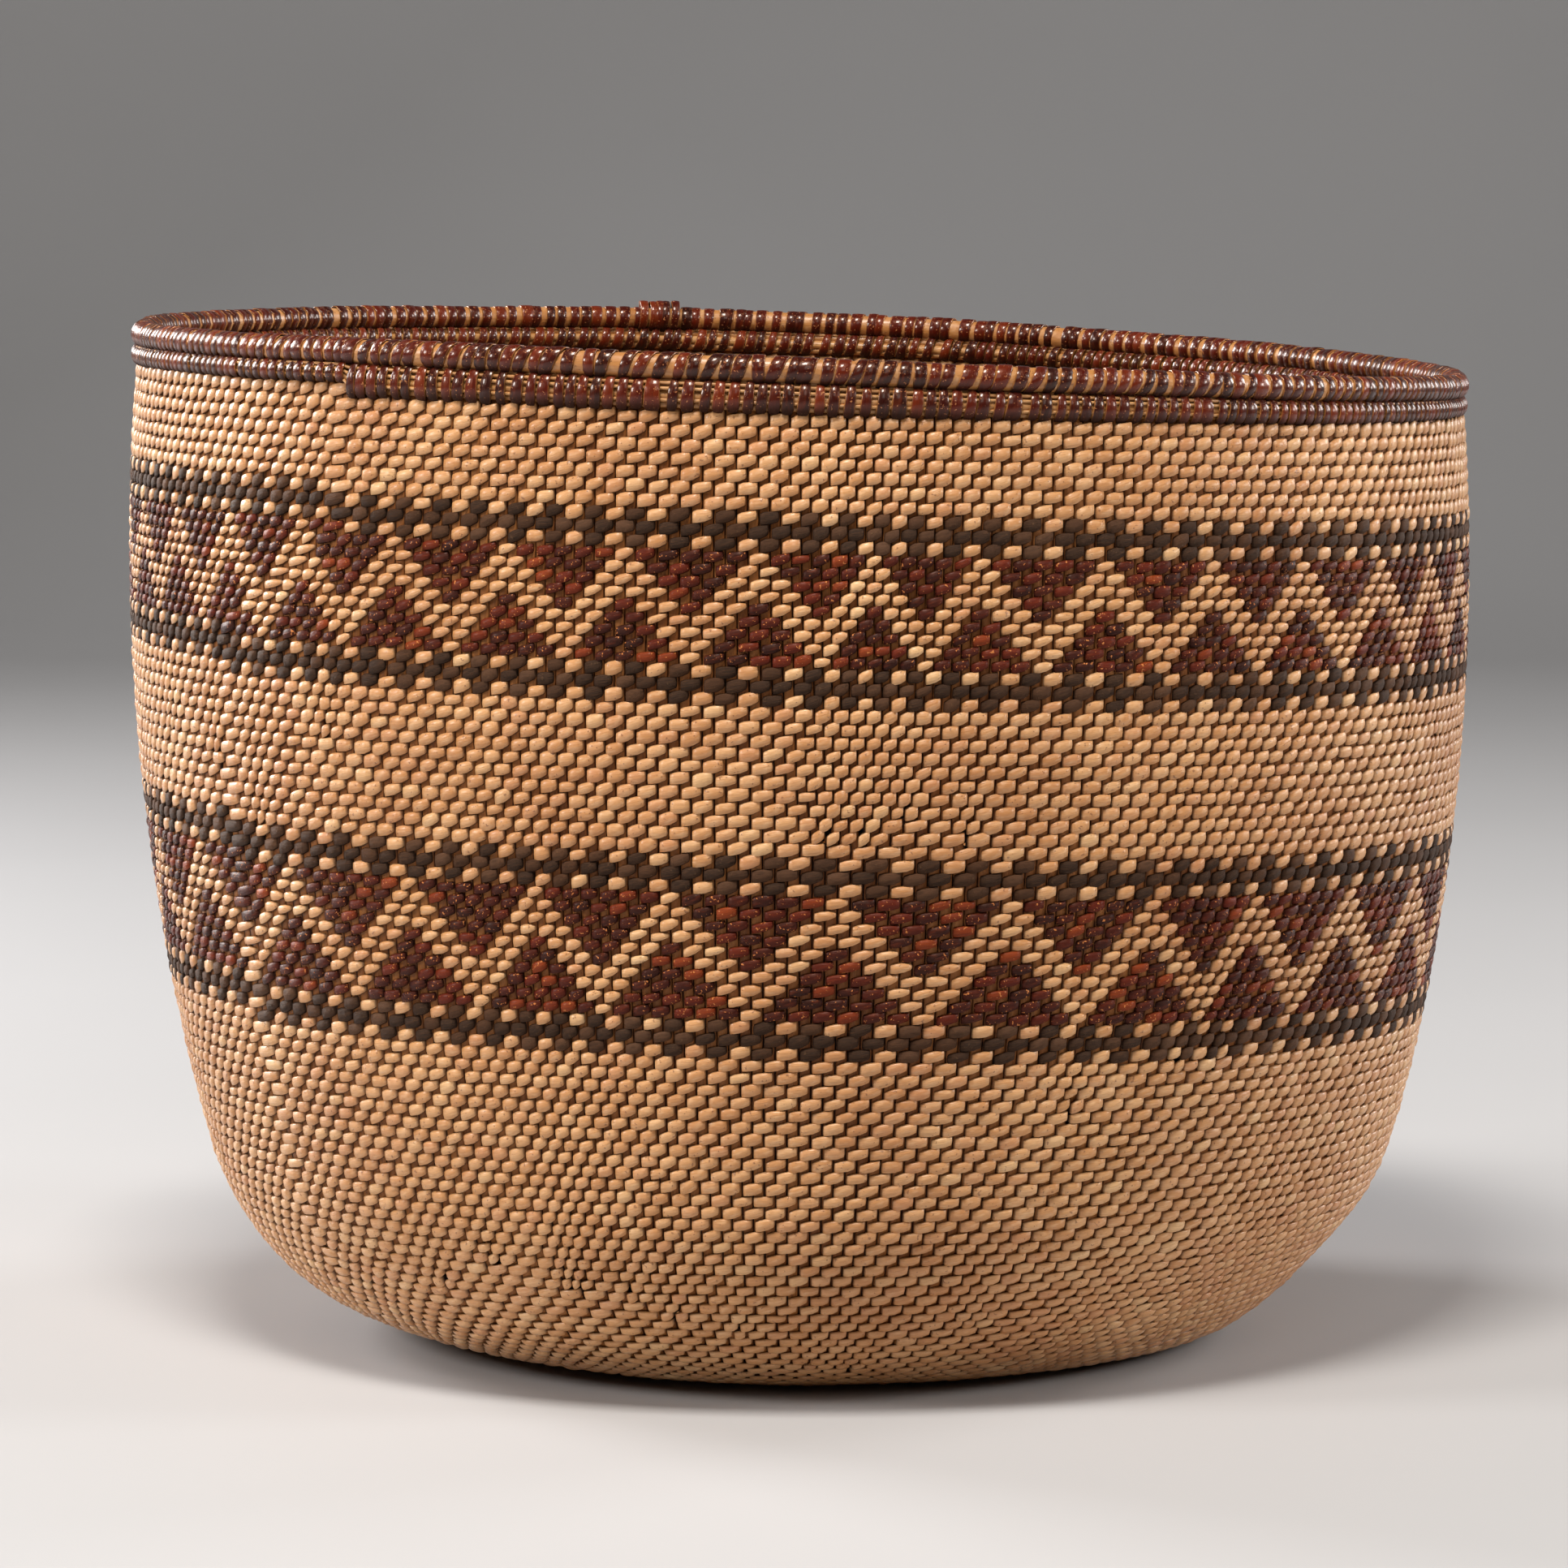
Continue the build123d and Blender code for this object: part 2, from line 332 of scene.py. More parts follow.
def makeFibreGroup():
    # fine fibres and broad streaks by noise over the strand's own UV map, much longer along it than
    # across, with specks over all and a mask of its two long edges
    group = bpy.data.node_groups.new("strandFibres", "ShaderNodeTree")
    for name in ("Fineness", "Length", "Speck Size", "Specks"):
        group.interface.new_socket(name, in_out="INPUT", socket_type="NodeSocketFloat")
    for name in ("Fibre", "Streak", "Speck", "Edge", "Height"):
        group.interface.new_socket(name, in_out="OUTPUT", socket_type="NodeSocketFloat")
    source = group.nodes.new("NodeGroupInput")
    target = group.nodes.new("NodeGroupOutput")
    strand = addNode(group, "ShaderNodeUVMap", uv_map="strand")
    apart = addNode(group, "ShaderNodeSeparateXYZ", [(0, strand.outputs[0])])
    run, side = apart.outputs[0], apart.outputs[1]
    along = calculate(group, "MULTIPLY", run, source.outputs["Length"])
    slow = calculate(group, "MULTIPLY", run, fibreShape["turn"])
    across = calculate(group, "MULTIPLY", side, source.outputs["Fineness"])
    place = addNode(group, "ShaderNodeCombineXYZ", [(0, along), (1, across), (2, slow)])
    fibre = addNoise(group, place.outputs[0], 1.0, fibreShape["detail"], fibreShape["roughness"])
    wide = calculate(group, "MULTIPLY", side, fibreShape["streakFineness"])
    broadPlace = addNode(group, "ShaderNodeCombineXYZ", [(0, along), (1, wide), (2, slow)])
    streak = addNoise(group, broadPlace.outputs[0], 1.0, 1.0)
    body = addNode(group, "ShaderNodeTexCoord")
    dots = addNoise(group, body.outputs["Object"], source.outputs["Speck Size"], 1.0)
    beyond = calculate(group, "SUBTRACT", dots, source.outputs["Specks"])
    speck = stretchValue(group, beyond, 0.0, fibreShape["speckSoftness"])
    edge = stretchValue(group, calculate(group, "ABSOLUTE", side), fibreShape["edgeStart"], 1.0)
    height = calculate(group, "ADD", calculate(group, "MULTIPLY", speck, fibreShape["speckHeight"]), fibre)
    for name, value in (("Fibre", fibre), ("Streak", streak), ("Speck", speck), ("Edge", edge),
                        ("Height", height)):
        group.links.new(value, target.inputs[name])
    return group


fibreGroup = makeFibreGroup()


# what all strands share: where each mask sets in and is full, and some amounts
strandSkin = {
    "grain": (0.35, 0.75),
    "streak": (0.5, 0.8),
    "edge": (0.35, 0.6),
    "leastEdge": 0.3,
    "stain": (0.35, 0.7),
    "stainScale": 17.0,
    "stainDetail": 3.0,
    "cleftShade": (0.22, 0.85),
    "fibreRoughness": (0.3, 0.7),
    "roughSpread": 0.08,
    "cleftRoughness": (0.25, 0.9),
    "cleftRough": 0.35,
    "cleftCoat": (0.25, 0.7),
}


def strandMaterial(name, look):
    # a plant strand: a colour for each strand, over it its fibres, streaks, specks, edges and stains,
    # and then painted shade: the clefts and undersides darkened in colour, where it is also rough and has no
    # shine
    material = bpy.data.materials.new(name)
    material.use_nodes = True
    tree = material.node_tree
    tree.nodes.clear()
    output = tree.nodes.new("ShaderNodeOutputMaterial")
    skin = tree.nodes.new("ShaderNodeBsdfPrincipled")
    fibres = tree.nodes.new("ShaderNodeGroup")
    fibres.node_tree = fibreGroup
    for socket, key in (("Fineness", "fineness"), ("Length", "length"), ("Speck Size", "speckSize"),
                        ("Specks", "specks")):
        fibres.inputs[socket].default_value = look[key]
    fibre, streak = fibres.outputs["Fibre"], fibres.outputs["Streak"]
    tint = addNode(tree, "ShaderNodeAttribute", attribute_name="tint")
    cleftShade = addNode(tree, "ShaderNodeAttribute", attribute_name="cleftShade").outputs["Fac"]
    ramp = tree.nodes.new("ShaderNodeValToRGB")
    tree.links.new(tint.outputs["Fac"], ramp.inputs[0])
    stops = ramp.color_ramp.elements
    for place, _ in look["colours"][1:-1]:
        stops.new(place)
    for stop, (place, colour) in zip(stops, look["colours"]):
        stop.position = place
        stop.color = linear(*colour)
    uneven = stretchValue(tree, streak, *strandSkin["edge"], strandSkin["leastEdge"], 1.0)
    edge = calculate(tree, "MULTIPLY", fibres.outputs["Edge"], uneven)
    body = addNode(tree, "ShaderNodeTexCoord")
    stain = addNoise(tree, body.outputs["Object"], strandSkin["stainScale"], strandSkin["stainDetail"])
    layers = [
        ("grain", stretchValue(tree, fibre, *strandSkin["grain"], 0, look["grain"]), "MIX"),
        ("streak", stretchValue(tree, streak, *strandSkin["streak"], 0, look["streak"]), "MIX"),
        ("speck", calculate(tree, "MULTIPLY", fibres.outputs["Speck"], look["speckShare"]), "MIX"),
        ("edge", calculate(tree, "MULTIPLY", edge, look["edge"]), "MIX"),
        ("stain", stretchValue(tree, stain, *strandSkin["stain"], 0, look["stain"]), "MULTIPLY"),
        # painted shade: clefts and undersides darken towards the cleft colour
        ("cleftShade", stretchValue(tree, cleftShade, *strandSkin["cleftShade"], 0, look["cleftShade"]), "MIX"),
    ]
    colour = ramp.outputs[0]
    for layer, share, blend in layers:
        colour = mixColours(tree, share, colour, linear(*look[layer + "Colour"]), blend)
    middle, spread = look["roughness"], strandSkin["roughSpread"]
    rough = stretchValue(tree, fibre, *strandSkin["fibreRoughness"], middle - spread, middle + spread)
    dull = stretchValue(tree, cleftShade, *strandSkin["cleftRoughness"], 0, strandSkin["cleftRough"])
    coat = stretchValue(tree, cleftShade, *strandSkin["cleftCoat"], look["coat"], 0)
    bump = addNode(tree, "ShaderNodeBump", [("Height", fibres.outputs["Height"]),
                                            ("Strength", look["bump"]), ("Distance", look["bumpHeight"])])
    skin.inputs["Specular IOR Level"].default_value = look["gloss"]
    skin.inputs["Specular Tint"].default_value = linear(*look["glossTint"])
    skin.inputs["Coat Roughness"].default_value = look["coatRoughness"]
    tree.links.new(coat, skin.inputs["Coat Weight"])
    tree.links.new(colour, skin.inputs["Base Color"])
    tree.links.new(calculate(tree, "ADD", rough, dull), skin.inputs["Roughness"])
    tree.links.new(bump.outputs[0], skin.inputs["Normal"])
    tree.links.new(skin.outputs[0], output.inputs[0])
    return material


# the finishes: each strand takes one of the colours by chance, and the numbers beside the other colours
# are how much of them shows; fineness is across a strand, length along it and speck size in a metre
plainLook = {
    "colours": [(0.0, (0.79, 0.56, 0.34)), (0.35, (0.83, 0.61, 0.39)), (0.7, (0.87, 0.67, 0.46)),
                (0.88, (0.81, 0.57, 0.37)), (1.0, (0.90, 0.73, 0.52))],
    "fineness": 9.0, "length": 0.30, "grain": 0.55, "grainColour": (0.64, 0.41, 0.21),
    "streak": 0.40, "streakColour": (0.92, 0.77, 0.60),
    "speckSize": 900.0, "specks": 0.69, "speckShare": 0.55, "speckColour": (0.45, 0.25, 0.13),
    "edge": 0.30, "edgeColour": (0.94, 0.80, 0.63),
    "stain": 0.6, "stainColour": (0.86, 0.77, 0.68),
    # the cleft colour is painted shade, laid over clefts and undersides
    "cleftShade": 1.0, "cleftShadeColour": (0.16, 0.05, 0.01), "gloss": 0.5, "glossTint": (1.0, 1.0, 1.0),
    "roughness": 0.42, "bump": 0.9, "bumpHeight": 0.16 * mm, "coat": 0.30, "coatRoughness": 0.24,
}
bulrushLook = dict(plainLook, **{
    "colours": [(0.0, (0.09, 0.08, 0.085)), (0.4, (0.13, 0.105, 0.10)), (0.62, (0.25, 0.165, 0.12)),
                (1.0, (0.36, 0.26, 0.20))],
    "fineness": 14.0, "grain": 0.75, "grainColour": (0.38, 0.26, 0.18),
    "streak": 0.40, "streakColour": (0.05, 0.04, 0.04),
    "speckShare": 0.2, "speckColour": (0.50, 0.38, 0.27), "edge": 0.08, "edgeColour": (0.5, 0.38, 0.28),
    "cleftShade": 0.95, "cleftShadeColour": (0.03, 0.02, 0.02), "gloss": 0.25, "glossTint": (1.0, 0.84, 0.72),
    "roughness": 0.62, "bump": 1.0, "bumpHeight": 0.3 * mm, "coat": 0.0,
})
redbudLook = dict(plainLook, **{
    "colours": [(0.0, (0.15, 0.05, 0.045)), (0.5, (0.27, 0.08, 0.05)), (0.85, (0.39, 0.12, 0.06)),
                (1.0, (0.56, 0.24, 0.10))],
    "fineness": 6.0, "grain": 0.45, "grainColour": (0.17, 0.05, 0.035),
    "streak": 0.3, "streakColour": (0.52, 0.21, 0.09),
    "speckSize": 1200.0, "specks": 0.66, "speckShare": 0.9, "speckColour": (0.80, 0.50, 0.28),
    "edge": 0.10, "edgeColour": (0.7, 0.45, 0.25),
    "cleftShade": 0.9, "cleftShadeColour": (0.07, 0.03, 0.02), "gloss": 0.25, "glossTint": (1.0, 0.80, 0.70),
    "roughness": 0.46, "bump": 1.0, "bumpHeight": 0.2 * mm, "coat": 0.06,
})
willowLook = dict(plainLook, **{
    # the shoots' colours are their own tone darkened by painted shade for the gaps where they show, and the
    # dark edge lines are painted shade of the slits between neighbours
    "colours": [(0.0, (0.42, 0.24, 0.11)), (0.5, (0.51, 0.31, 0.15)), (1.0, (0.60, 0.39, 0.21))],
    "streakColour": (0.32, 0.18, 0.08), "edge": 0.9, "edgeColour": (0.22, 0.10, 0.04),
    "cleftShade": 0.0, "gloss": 0.2, "coat": 0.0,
})
rodLook = dict(plainLook, **{
    "colours": [(0.0, (0.74, 0.52, 0.29)), (1.0, (0.84, 0.64, 0.40))],
    "fineness": 8.0, "grain": 0.45, "cleftShade": 0.0, "edge": 0.0,
})
wrapLook = dict(redbudLook, **{
    "colours": [(0.0, (0.17, 0.045, 0.03)), (0.35, (0.24, 0.06, 0.035)), (0.75, (0.34, 0.09, 0.045)),
                (1.0, (0.46, 0.17, 0.07))],
    "grain": 0.5, "grainColour": (0.13, 0.035, 0.02),
    "speckSize": 1300.0, "specks": 0.67, "speckShare": 0.7, "speckColour": (0.78, 0.52, 0.34),
    "edge": 0.85, "edgeColour": (0.86, 0.60, 0.34), "cleftShade": 0.85, "gloss": 0.3,
    "roughness": 0.32, "bump": 0.8, "bumpHeight": 0.14 * mm, "coat": 0.50, "coatRoughness": 0.12,
})
materials = {
    "sedge": strandMaterial("sedgeStrand", plainLook),
    "bulrush": strandMaterial("bulrushStrand", bulrushLook),
    "redbud": strandMaterial("redbudStrand", redbudLook),
    "willow": strandMaterial("willowShoot", willowLook),
    "rod": strandMaterial("peeledRod", rodLook),
    "wrap": strandMaterial("redbudWrap", wrapLook),
}
weftMaterials = [materials["sedge"], materials["bulrush"], materials["redbud"]]
print("materials", len(materials))


def strandBands(shape, run, across, tint, cleftShade, keep=slice(None)):
    # what each point of a strand carries: its place along and across it, the strand's tint, and how deep
    # in a cleft or on an underside the point lies, which sets its painted shade
    run, across, tint, cleftShade = [np.broadcast_to(value, shape)[keep] for value in (run, across, tint, cleftShade)]
    return {"strand": np.stack([run, across], axis=-1).reshape(-1, 2), "tint": tint.reshape(-1),
            "cleftShade": cleftShade.reshape(-1)}


def meshPiece(name, points, quads, bands, pieceMaterials, kinds=None):
    # one object from its points, its quads, the bands of values at its points and each quad's material
    mesh = bpy.data.meshes.new(name)
    mesh.vertices.add(len(points))
    mesh.vertices.foreach_set("co", points.astype(np.float32).ravel())
    mesh.loops.add(quads.size)
    mesh.loops.foreach_set("vertex_index", quads.astype(np.int32).ravel())
    mesh.polygons.add(len(quads))
    mesh.polygons.foreach_set("loop_start", np.arange(0, quads.size, 4, dtype=np.int32))
    for material in pieceMaterials:
        mesh.materials.append(material)
    if kinds is not None:
        mesh.polygons.foreach_set("material_index", kinds.astype(np.int32))
    mesh.update(calc_edges=True)
    along = mesh.uv_layers.new(name="strand")
    along.data.foreach_set("uv", bands["strand"][quads.ravel()].astype(np.float32).ravel())
    for bandName in ("tint", "cleftShade"):
        values = mesh.attributes.new(bandName, "FLOAT", "POINT")
        values.data.foreach_set("value", bands[bandName].astype(np.float32).ravel())
    mesh.validate()
    mesh.shade_smooth()
    piece = bpy.data.objects.new(name, mesh)
    bpy.context.collection.objects.link(piece)
    return piece


def settle(piece, slot, *nodes):
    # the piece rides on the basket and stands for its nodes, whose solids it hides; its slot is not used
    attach(piece, "root")
    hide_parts(*nodes)
    print("made", piece.name, len(piece.data.polygons) * 2, "triangles")


def sideQuads(rings, around, closed=False):
    # the quads between rings of points, where a closed row of them also joins its last to its first
    i, j = np.meshgrid(np.arange(rings if closed else rings - 1), np.arange(around), indexing="ij")
    i, j = i.ravel(), j.ravel()
    nextI, nextJ = (i + 1) % rings, (j + 1) % around
    return np.stack([i * around + j, i * around + nextJ, nextI * around + nextJ, nextI * around + j], axis=1)


def tubeQuads(count, samples, around, inward=False):
    # the sides and the two flat ends of many short tubes, each samples long and 4 or 6 points round
    end = np.array([[0, 1, 2, 3], [0, 3, 4, 5]]) if around == 6 else np.array([[0, 1, 2, 3]])
    quads = np.concatenate([sideQuads(samples, around), end + (samples - 1) * around, end[:, ::-1]])
    if inward:
        quads = quads[:, ::-1]
    starts = np.arange(count)[:, None, None] * samples * around
    return (quads[None] + starts).reshape(-1, 4), len(quads)


strandShift = 100  # strands start at most this many millimetres along the pattern of fibres

# a stitch from left to right: how far its two edges stand off its middle line, as shares of half its
# width, and how it dives from the wall's face to the middle of the wall
stitch = {
    "along": np.array([-1.0, -0.84, -0.45, 0.25, 0.78, 1.0]),
    "upper": np.array([0.58, 0.90, 1.02, 1.00, 1.00, 0.76]),
    "lower": np.array([0.84, 1.00, 1.00, 0.95, 0.70, 0.38]),
    "pointedUpper": np.array([0.50, 0.86, 1.00, 0.98, 0.66, 0.14]),
    "pointedLower": np.array([0.74, 0.98, 1.00, 0.84, 0.40, 0.14]),
    "dip": np.array([1.0, 0.25, 0.03, 0.0, 0.15, 1.0]),
    "section": np.array([[1, -0.3], [0.80, 0.68], [0, 1], [-0.80, 0.68], [-1, -0.3], [0, -0.85]]),
    # half the width of a stitch of sedge, bulrush and redbud, as a share of the course pitch
    "fullness": np.array([0.475, 0.48, 0.415]),
    "pointedFullness": 0.425,  # and of the pointed ones of sedge among the triangles
    "halfThick": 0.72 * mm,
    "endThinning": 0.2,
    "topDepth": 0.72 * mm,  # how deep the middle of its section lies at the middle of its length
    "crossDepth": 2.5 * mm,  # and at both ends
    "rise": 0.64 * mm,  # the right end stands this much higher than the middle
    "reach": 0.985,  # of the way between its ends, so that two ends don't meet
    "underShade": 0.7,  # how dark the painted shade on the underside is
    "underLean": 0.25,  # and how much more so at the lower edge
    # how much chance there is in each measure
    "chance": {"along": 0.04, "rise": 0.28, "way": 0.13 * mm, "width": 0.08, "depth": 0.08 * mm,
               "thick": 0.06},
}
# the same for the inside and the base
innerStitch = {
    "along": np.array([-1.0, -0.6, 0.6, 1.0]),
    "upper": np.array([0.5, 1.0, 1.0, 0.7]),
    "lower": np.array([0.7, 1.0, 1.0, 0.5]),
    "dip": np.array([1.0, 0.12, 0.12, 1.0]),
    "section": np.array([[1, -0.3], [0.5, 0.9], [-0.5, 0.9], [-1, -0.3]]),
}


def spiral(angles):
    # how many courses the weave has climbed at an angle, counted from the front
    return (angles - wall["front"]) / (2 * math.pi)


def stitchRows(chosen):
    # the ends, way, pitch and kind of every stitch of the chosen courses, as arrays
    rows = {"left": [], "right": [], "way": [], "pitch": [], "kind": [], "pointed": []}
    for index in chosen:
        # a round runs from its own seam to the seam of the next one up, which starts one course higher;
        # the even rounds' first and last stitches reach one warp across it, where the odd ones stop short
        course, above = courses[index], courses[min(index + 1, len(courses) - 1)]
        warps, seam, odd = course["warps"], course["seam"], index % 2
        count = len(warps)
        first = seam + odd + 2 * np.arange((count + above["seam"] - seam) // 2)

        def angle(which):
            # a warp's angle by its number, which may count on past a whole turn
            return warps[which % count] + 2 * math.pi * np.floor_divide(which, count)

        kinds = kindsOf(course, index, (first - odd) // 2)
        left = (angle(first - 1) + angle(first)) / 2
        right = (angle(first + 1) + angle(first + 2)) / 2
        if odd:
            left, right, kinds = left[:-1], right[:-1], kinds[:-1]
        else:
            left[0] = (angle(first[0] - 2) + angle(first[0] - 1)) / 2
            right[-1] = (angle(first[-1] + 2) + angle(first[-1] + 3)) / 2
        rows["left"].append(left)
        rows["right"].append(right)
        rows["way"].append(course["way"] + course["pitch"] * spiral((left + right) / 2))
        rows["pitch"].append(np.full(len(left), course["pitch"]))
        rows["kind"].append(kinds)
        rows["pointed"].append((kinds == sedge) & (course["kind"] == "t"))
    return {key: np.concatenate(value) for key, value in rows.items()}


def weaveStitches(name, chosen, inner=False, coarse=False):
    # strands over two warps each: along the course by angle, across it by way, with the depth
    # going from the wall's face at the middle to the middle of the wall at both ends
    rows = stitchRows(chosen)
    shape = innerStitch if inner or coarse else stitch
    across, outward = shape["section"][:, 0], shape["section"][:, 1]
    count, samples, around = len(rows["left"]), len(shape["along"]), len(across)
    draws = chance.normal(0, 1, (len(stitch["chance"]), count, 1))
    vary = {measure: size * draw for (measure, size), draw in zip(stitch["chance"].items(), draws)}
    middle = ((rows["left"] + rows["right"]) / 2)[:, None]
    half = ((rows["right"] - rows["left"]) / 2)[:, None] * stitch["reach"]
    along = shape["along"][None]
    theta = middle + half * (along + vary["along"])
    rise = stitch["rise"] * (1 + vary["rise"]) * (-1 if inner else 1)
    way = rows["way"][:, None] + rise * along + vary["way"]
    upper, lower = shape["upper"][None], shape["lower"][None]
    fullness = stitch["fullness"][rows["kind"]][:, None]
    if shape is stitch:
        pointed = rows["pointed"][:, None]
        upper = np.where(pointed, stitch["pointedUpper"], upper)
        lower = np.where(pointed, stitch["pointedLower"], lower)
        fullness = np.where(pointed, stitch["pointedFullness"], fullness)
    width = fullness * rows["pitch"][:, None] * (1 + vary["width"])
    upper, lower = upper * width, lower * width
    dip = shape["dip"][None]
    top = stitch["topDepth"] - vary["depth"]
    depth = top + (stitch["crossDepth"] - top) * dip
    thick = stitch["halfThick"] * (1 - stitch["endThinning"] * dip) * (1 + vary["thick"])
    theta = np.repeat(theta[:, :, None], around, axis=2)
    way = way[:, :, None] + across * np.where(across > 0, upper[:, :, None], lower[:, :, None])
    depth = depth[:, :, None] - outward * thick[:, :, None]
    if inner:
        depth = wall["thickness"] - depth
    points = weavePoint(theta, way, depth).reshape(-1, 3)
    quads, perStrand = tubeQuads(count, samples, around, inward=inner)
    length = half * profile(rows["way"], 0)[0][:, None] * along / mm
    run = (length + strandShift * chance.random((count, 1)))[:, :, None]
    tint = chance.random((count, 1, 1))
    # painted shade: a stitch's colour darkens where it dives into the wall and on its underside, more so at
    # its lower edge
    under = (outward < 0) * (stitch["underShade"] - stitch["underLean"] * across)
    bands = strandBands((count, samples, around), run, across, tint, dip[:, :, None] + under)
    return meshPiece(name, points, quads, bands, weftMaterials, np.repeat(rows["kind"], perStrand))


slots = {"p": "sedge_weft", "a": "bulrush_weft", "t": "redbud_weft"}
lowerWallPieces = 3
for zone in dict.fromkeys(course["zone"] for course in courses):
    chosen = [index for index, course in enumerate(courses) if course["zone"] == zone]
    slot = slots[courses[chosen[0]]["kind"]]
    pieces = lowerWallPieces if zone == "lower_wall_weft" else 1
    for number, share in enumerate(np.array_split(chosen, pieces)):
        mark = str(number + 1) if pieces > 1 else ""
        settle(weaveStitches(zone + "_outside" + mark, share, coarse=zone.startswith("base")), slot, zone)
    settle(weaveStitches(zone + "_inside", chosen, inner=True), slot, zone)


# the warp shoots: four-sided tubes in the middle of the wall, each from its first course up; their
# inner corners meet those of their neighbours, so that no light comes through
warp = {
    "radius": 1.36 * mm,
    "deep": 1.2,  # radii from its middle to a corner, which count for its depth alone
    "depth": 2.5 * mm,
    "step": 2,  # courses between two rings
    "radiusShare": 0.49,  # the radius is at most this share of the way to a neighbour
    "farthest": 1.9 * mm,  # and no corner stands out more to a side
    "outerShare": 0.88,  # the outer corners stand this share of the way to the inner ones
    "footSpare": 0.4,  # the first ring is this share of a course lower
    "topSpare": 1.6 * mm,
    "corners": np.radians([45, 135, 225, 315]),  # the two outer ones come first
    "across": np.array([1.0, -1.0, -1.0, 1.0]),
    "near": 0.001,  # angles closer than this are the same
}


def layWarpTubes(name, take):
    # rings at every second course and at the rim, one row per warp; a warp that starts later has no
    # rings before
    total = max(course["names"].max() for course in courses) + 1
    rings = list(range(0, len(courses), warp["step"])) + [len(courses) - 1]
    angles = np.full((total, len(rings)), np.nan)
    halves = np.full((2, total, len(rings)), np.nan)
    ways = np.array([courses[index]["way"] for index in rings])
    ways[0] -= courses[0]["pitch"] * warp["footSpare"]
    ways[-1] = rimWay + warp["topSpare"]
    for column, index in enumerate(rings):
        course = courses[index]
        around = np.concatenate([[course["warps"][-1] - 2 * math.pi], course["warps"],
                                 [course["warps"][0] + 2 * math.pi]])
        reach = profile(np.array([course["way"]]), warp["depth"])[0][0]
        angles[course["names"], column] = course["warps"]
        halves[0, course["names"], column] = np.diff(around)[1:] * reach / 2
        halves[1, course["names"], column] = np.diff(around)[:-1] * reach / 2
    angles, halves = angles[take::2], halves[:, take::2]
    there = ~np.isnan(angles)
    radius = np.minimum(warp["radius"], 2 * warp["radiusShare"] * halves.min(axis=0))
    after, before = np.minimum(halves, warp["farthest"])
    side = np.stack([after * warp["outerShare"], -before * warp["outerShare"], -before, after], axis=-1)
    theta = angles[:, :, None] + side / profile(ways, warp["depth"])[0][None, :, None]
    depth = warp["depth"] - radius[:, :, None] * warp["deep"] * np.sin(warp["corners"])
    way = np.broadcast_to(ways[None, :, None], theta.shape).copy()
    # the heads follow the spiral of the last course, in which those before its seam come last
    head = theta[:, -1]
    late = head < courses[-1]["warps"][weave["topSeam"]] - warp["near"]
    way[:, -1] += courses[-1]["pitch"] * spiral(head + 2 * math.pi * late)
    points = weavePoint(theta, way, depth)[there].reshape(-1, 3)
    number = np.full(there.shape, -1)
    number[there] = np.arange(there.sum()) * 4
    low, high = number[:, :-1], number[:, 1:]
    both = (low >= 0) & (high >= 0)
    low, high = low[both], high[both]
    sides = [np.stack([low + (j + 1) % 4, low + j, high + j, high + (j + 1) % 4], axis=1) for j in range(4)]
    first = number[np.arange(len(number)), there.argmax(axis=1)]
    foot, top = first[:, None] + np.arange(4), number[:, -1:] + np.arange(4)[::-1]
    quads = np.concatenate(sides + [foot, top])
    run = ways[None, :, None] / mm + strandShift * chance.random((len(angles), 1, 1))
    tint = chance.random((len(angles), 1, 1))
    bands = strandBands(theta.shape, run, warp["across"], tint, 0, there)
    return meshPiece(name, points, quads, bands, [materials["willow"]])


settle(layWarpTubes("warpShootsEven", 0), "willow_warp", "warp_shoots")
settle(layWarpTubes("warpShootsOdd", 1), "willow_warp", "warp_shoots")

# the two hoops, which lean with the rim; the lower one starts thick at a step and thins on its way round
hoop = {
    "lowerReach": 205.39 * mm,
    "upperReach": 205.88 * mm,
    "upperMiddle": 12.35 * mm,
    "upperHalf": 4.2 * mm,
    "sag": 4.0 * mm,
    "outSwell": 0.35 * mm,  # slow waves, with the same four values as those of the wall
    "outWaves": [(3, 0.4, 0, 1.0), (8, 2.0, 0, 0.5)],
    "upSwell": 0.3 * mm,
    "upWaves": [(2, 1.1, 0, 0.6), (5, 0, 0, 0.4), (11, 0, 0, 0.3)],
    "step": math.radians(231),
    "lowerHead": 10.0 * mm,
    # the lower hoop's height at these turns from the step
    "turns": np.radians([0, 39, 87, 114, 129, 219, 309, 359.5]),
    "heights": np.array([11.5, 10.6, 8.6, 7.4, 7.1, 8.6, 7.5, 7.2]) * mm,
}


def hoopPoint(phi, out, up, reach):
    # a point by its angle round the rim, its way out from the hoop's reach and up from the rim's plane
    far = reach + out + hoop["outSwell"] * waves(phi, hoop["outWaves"])
    up = up + hoop["upSwell"] * waves(phi, hoop["upWaves"]) - hoop["sag"] * np.cos(phi) ** 2
    lean = wall["rimLean"]
    x, y = far * np.cos(phi), far * np.sin(phi)
    return np.stack([x * math.cos(lean) + up * math.sin(lean), y,
                     wall["height"] - x * math.sin(lean) + up * math.cos(lean)], axis=-1)


def hoopSection(phi, lower):
    # the middle and half the height of a hoop above the rim's plane, at an angle round it
    if not lower:
        return phi * 0 + hoop["upperMiddle"], phi * 0 + hoop["upperHalf"]
    half = np.interp((phi - hoop["step"]) % (2 * math.pi), hoop["turns"], hoop["heights"]) / 2
    return hoop["lowerHead"] - half, half


